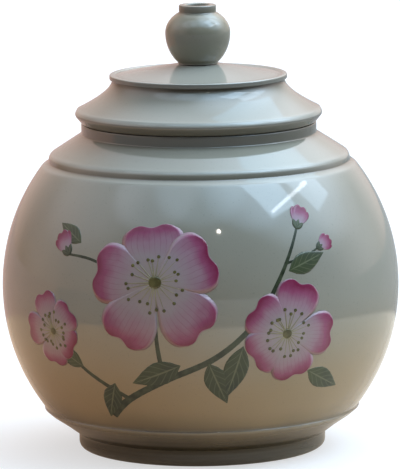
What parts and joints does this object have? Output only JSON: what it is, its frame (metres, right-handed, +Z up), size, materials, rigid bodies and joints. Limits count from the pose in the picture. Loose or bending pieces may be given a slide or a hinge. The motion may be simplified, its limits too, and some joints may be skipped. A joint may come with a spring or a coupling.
{
  "type": "tea canister",
  "caption": "Round-bellied glazed porcelain tea canister on a foot ring, with a stepped lift-off lid, a sealing spigot and a vase-shaped knob, for keeping loose tea dry.",
  "frame": {"origin": "centre of the foot ring, on the surface that the jar stands on", "axes": "+Z up along the axis of the jar, -Y towards the painted front"},
  "size_m": [0.17, 0.17, 0.1904],
  "materials": {
    "jar_glaze": "glossy",
    "lid_glaze": "glossy",
    "knob_glaze": "glossy",
    "seal_silicone": "satin"
  },
  "bodies": {
    "jar": {"jar_body": "jar_glaze"},
    "seal": {"seal_ring": "seal_silicone"},
    "lid": {"lid": "lid_glaze", "knob": "knob_glaze"}
  },
  "joints": [
    {"name": "lid_lift", "type": "slide", "parent": "jar", "child": "seal", "axis": [0, 0, 1], "range_m": [0, 0.12]},
    {"name": "lid_turn", "type": "hinge", "parent": "seal", "child": "lid", "pos_m": [0, 0, 0.1405], "axis": [0, 0, 1], "continuous": true}
  ]
}
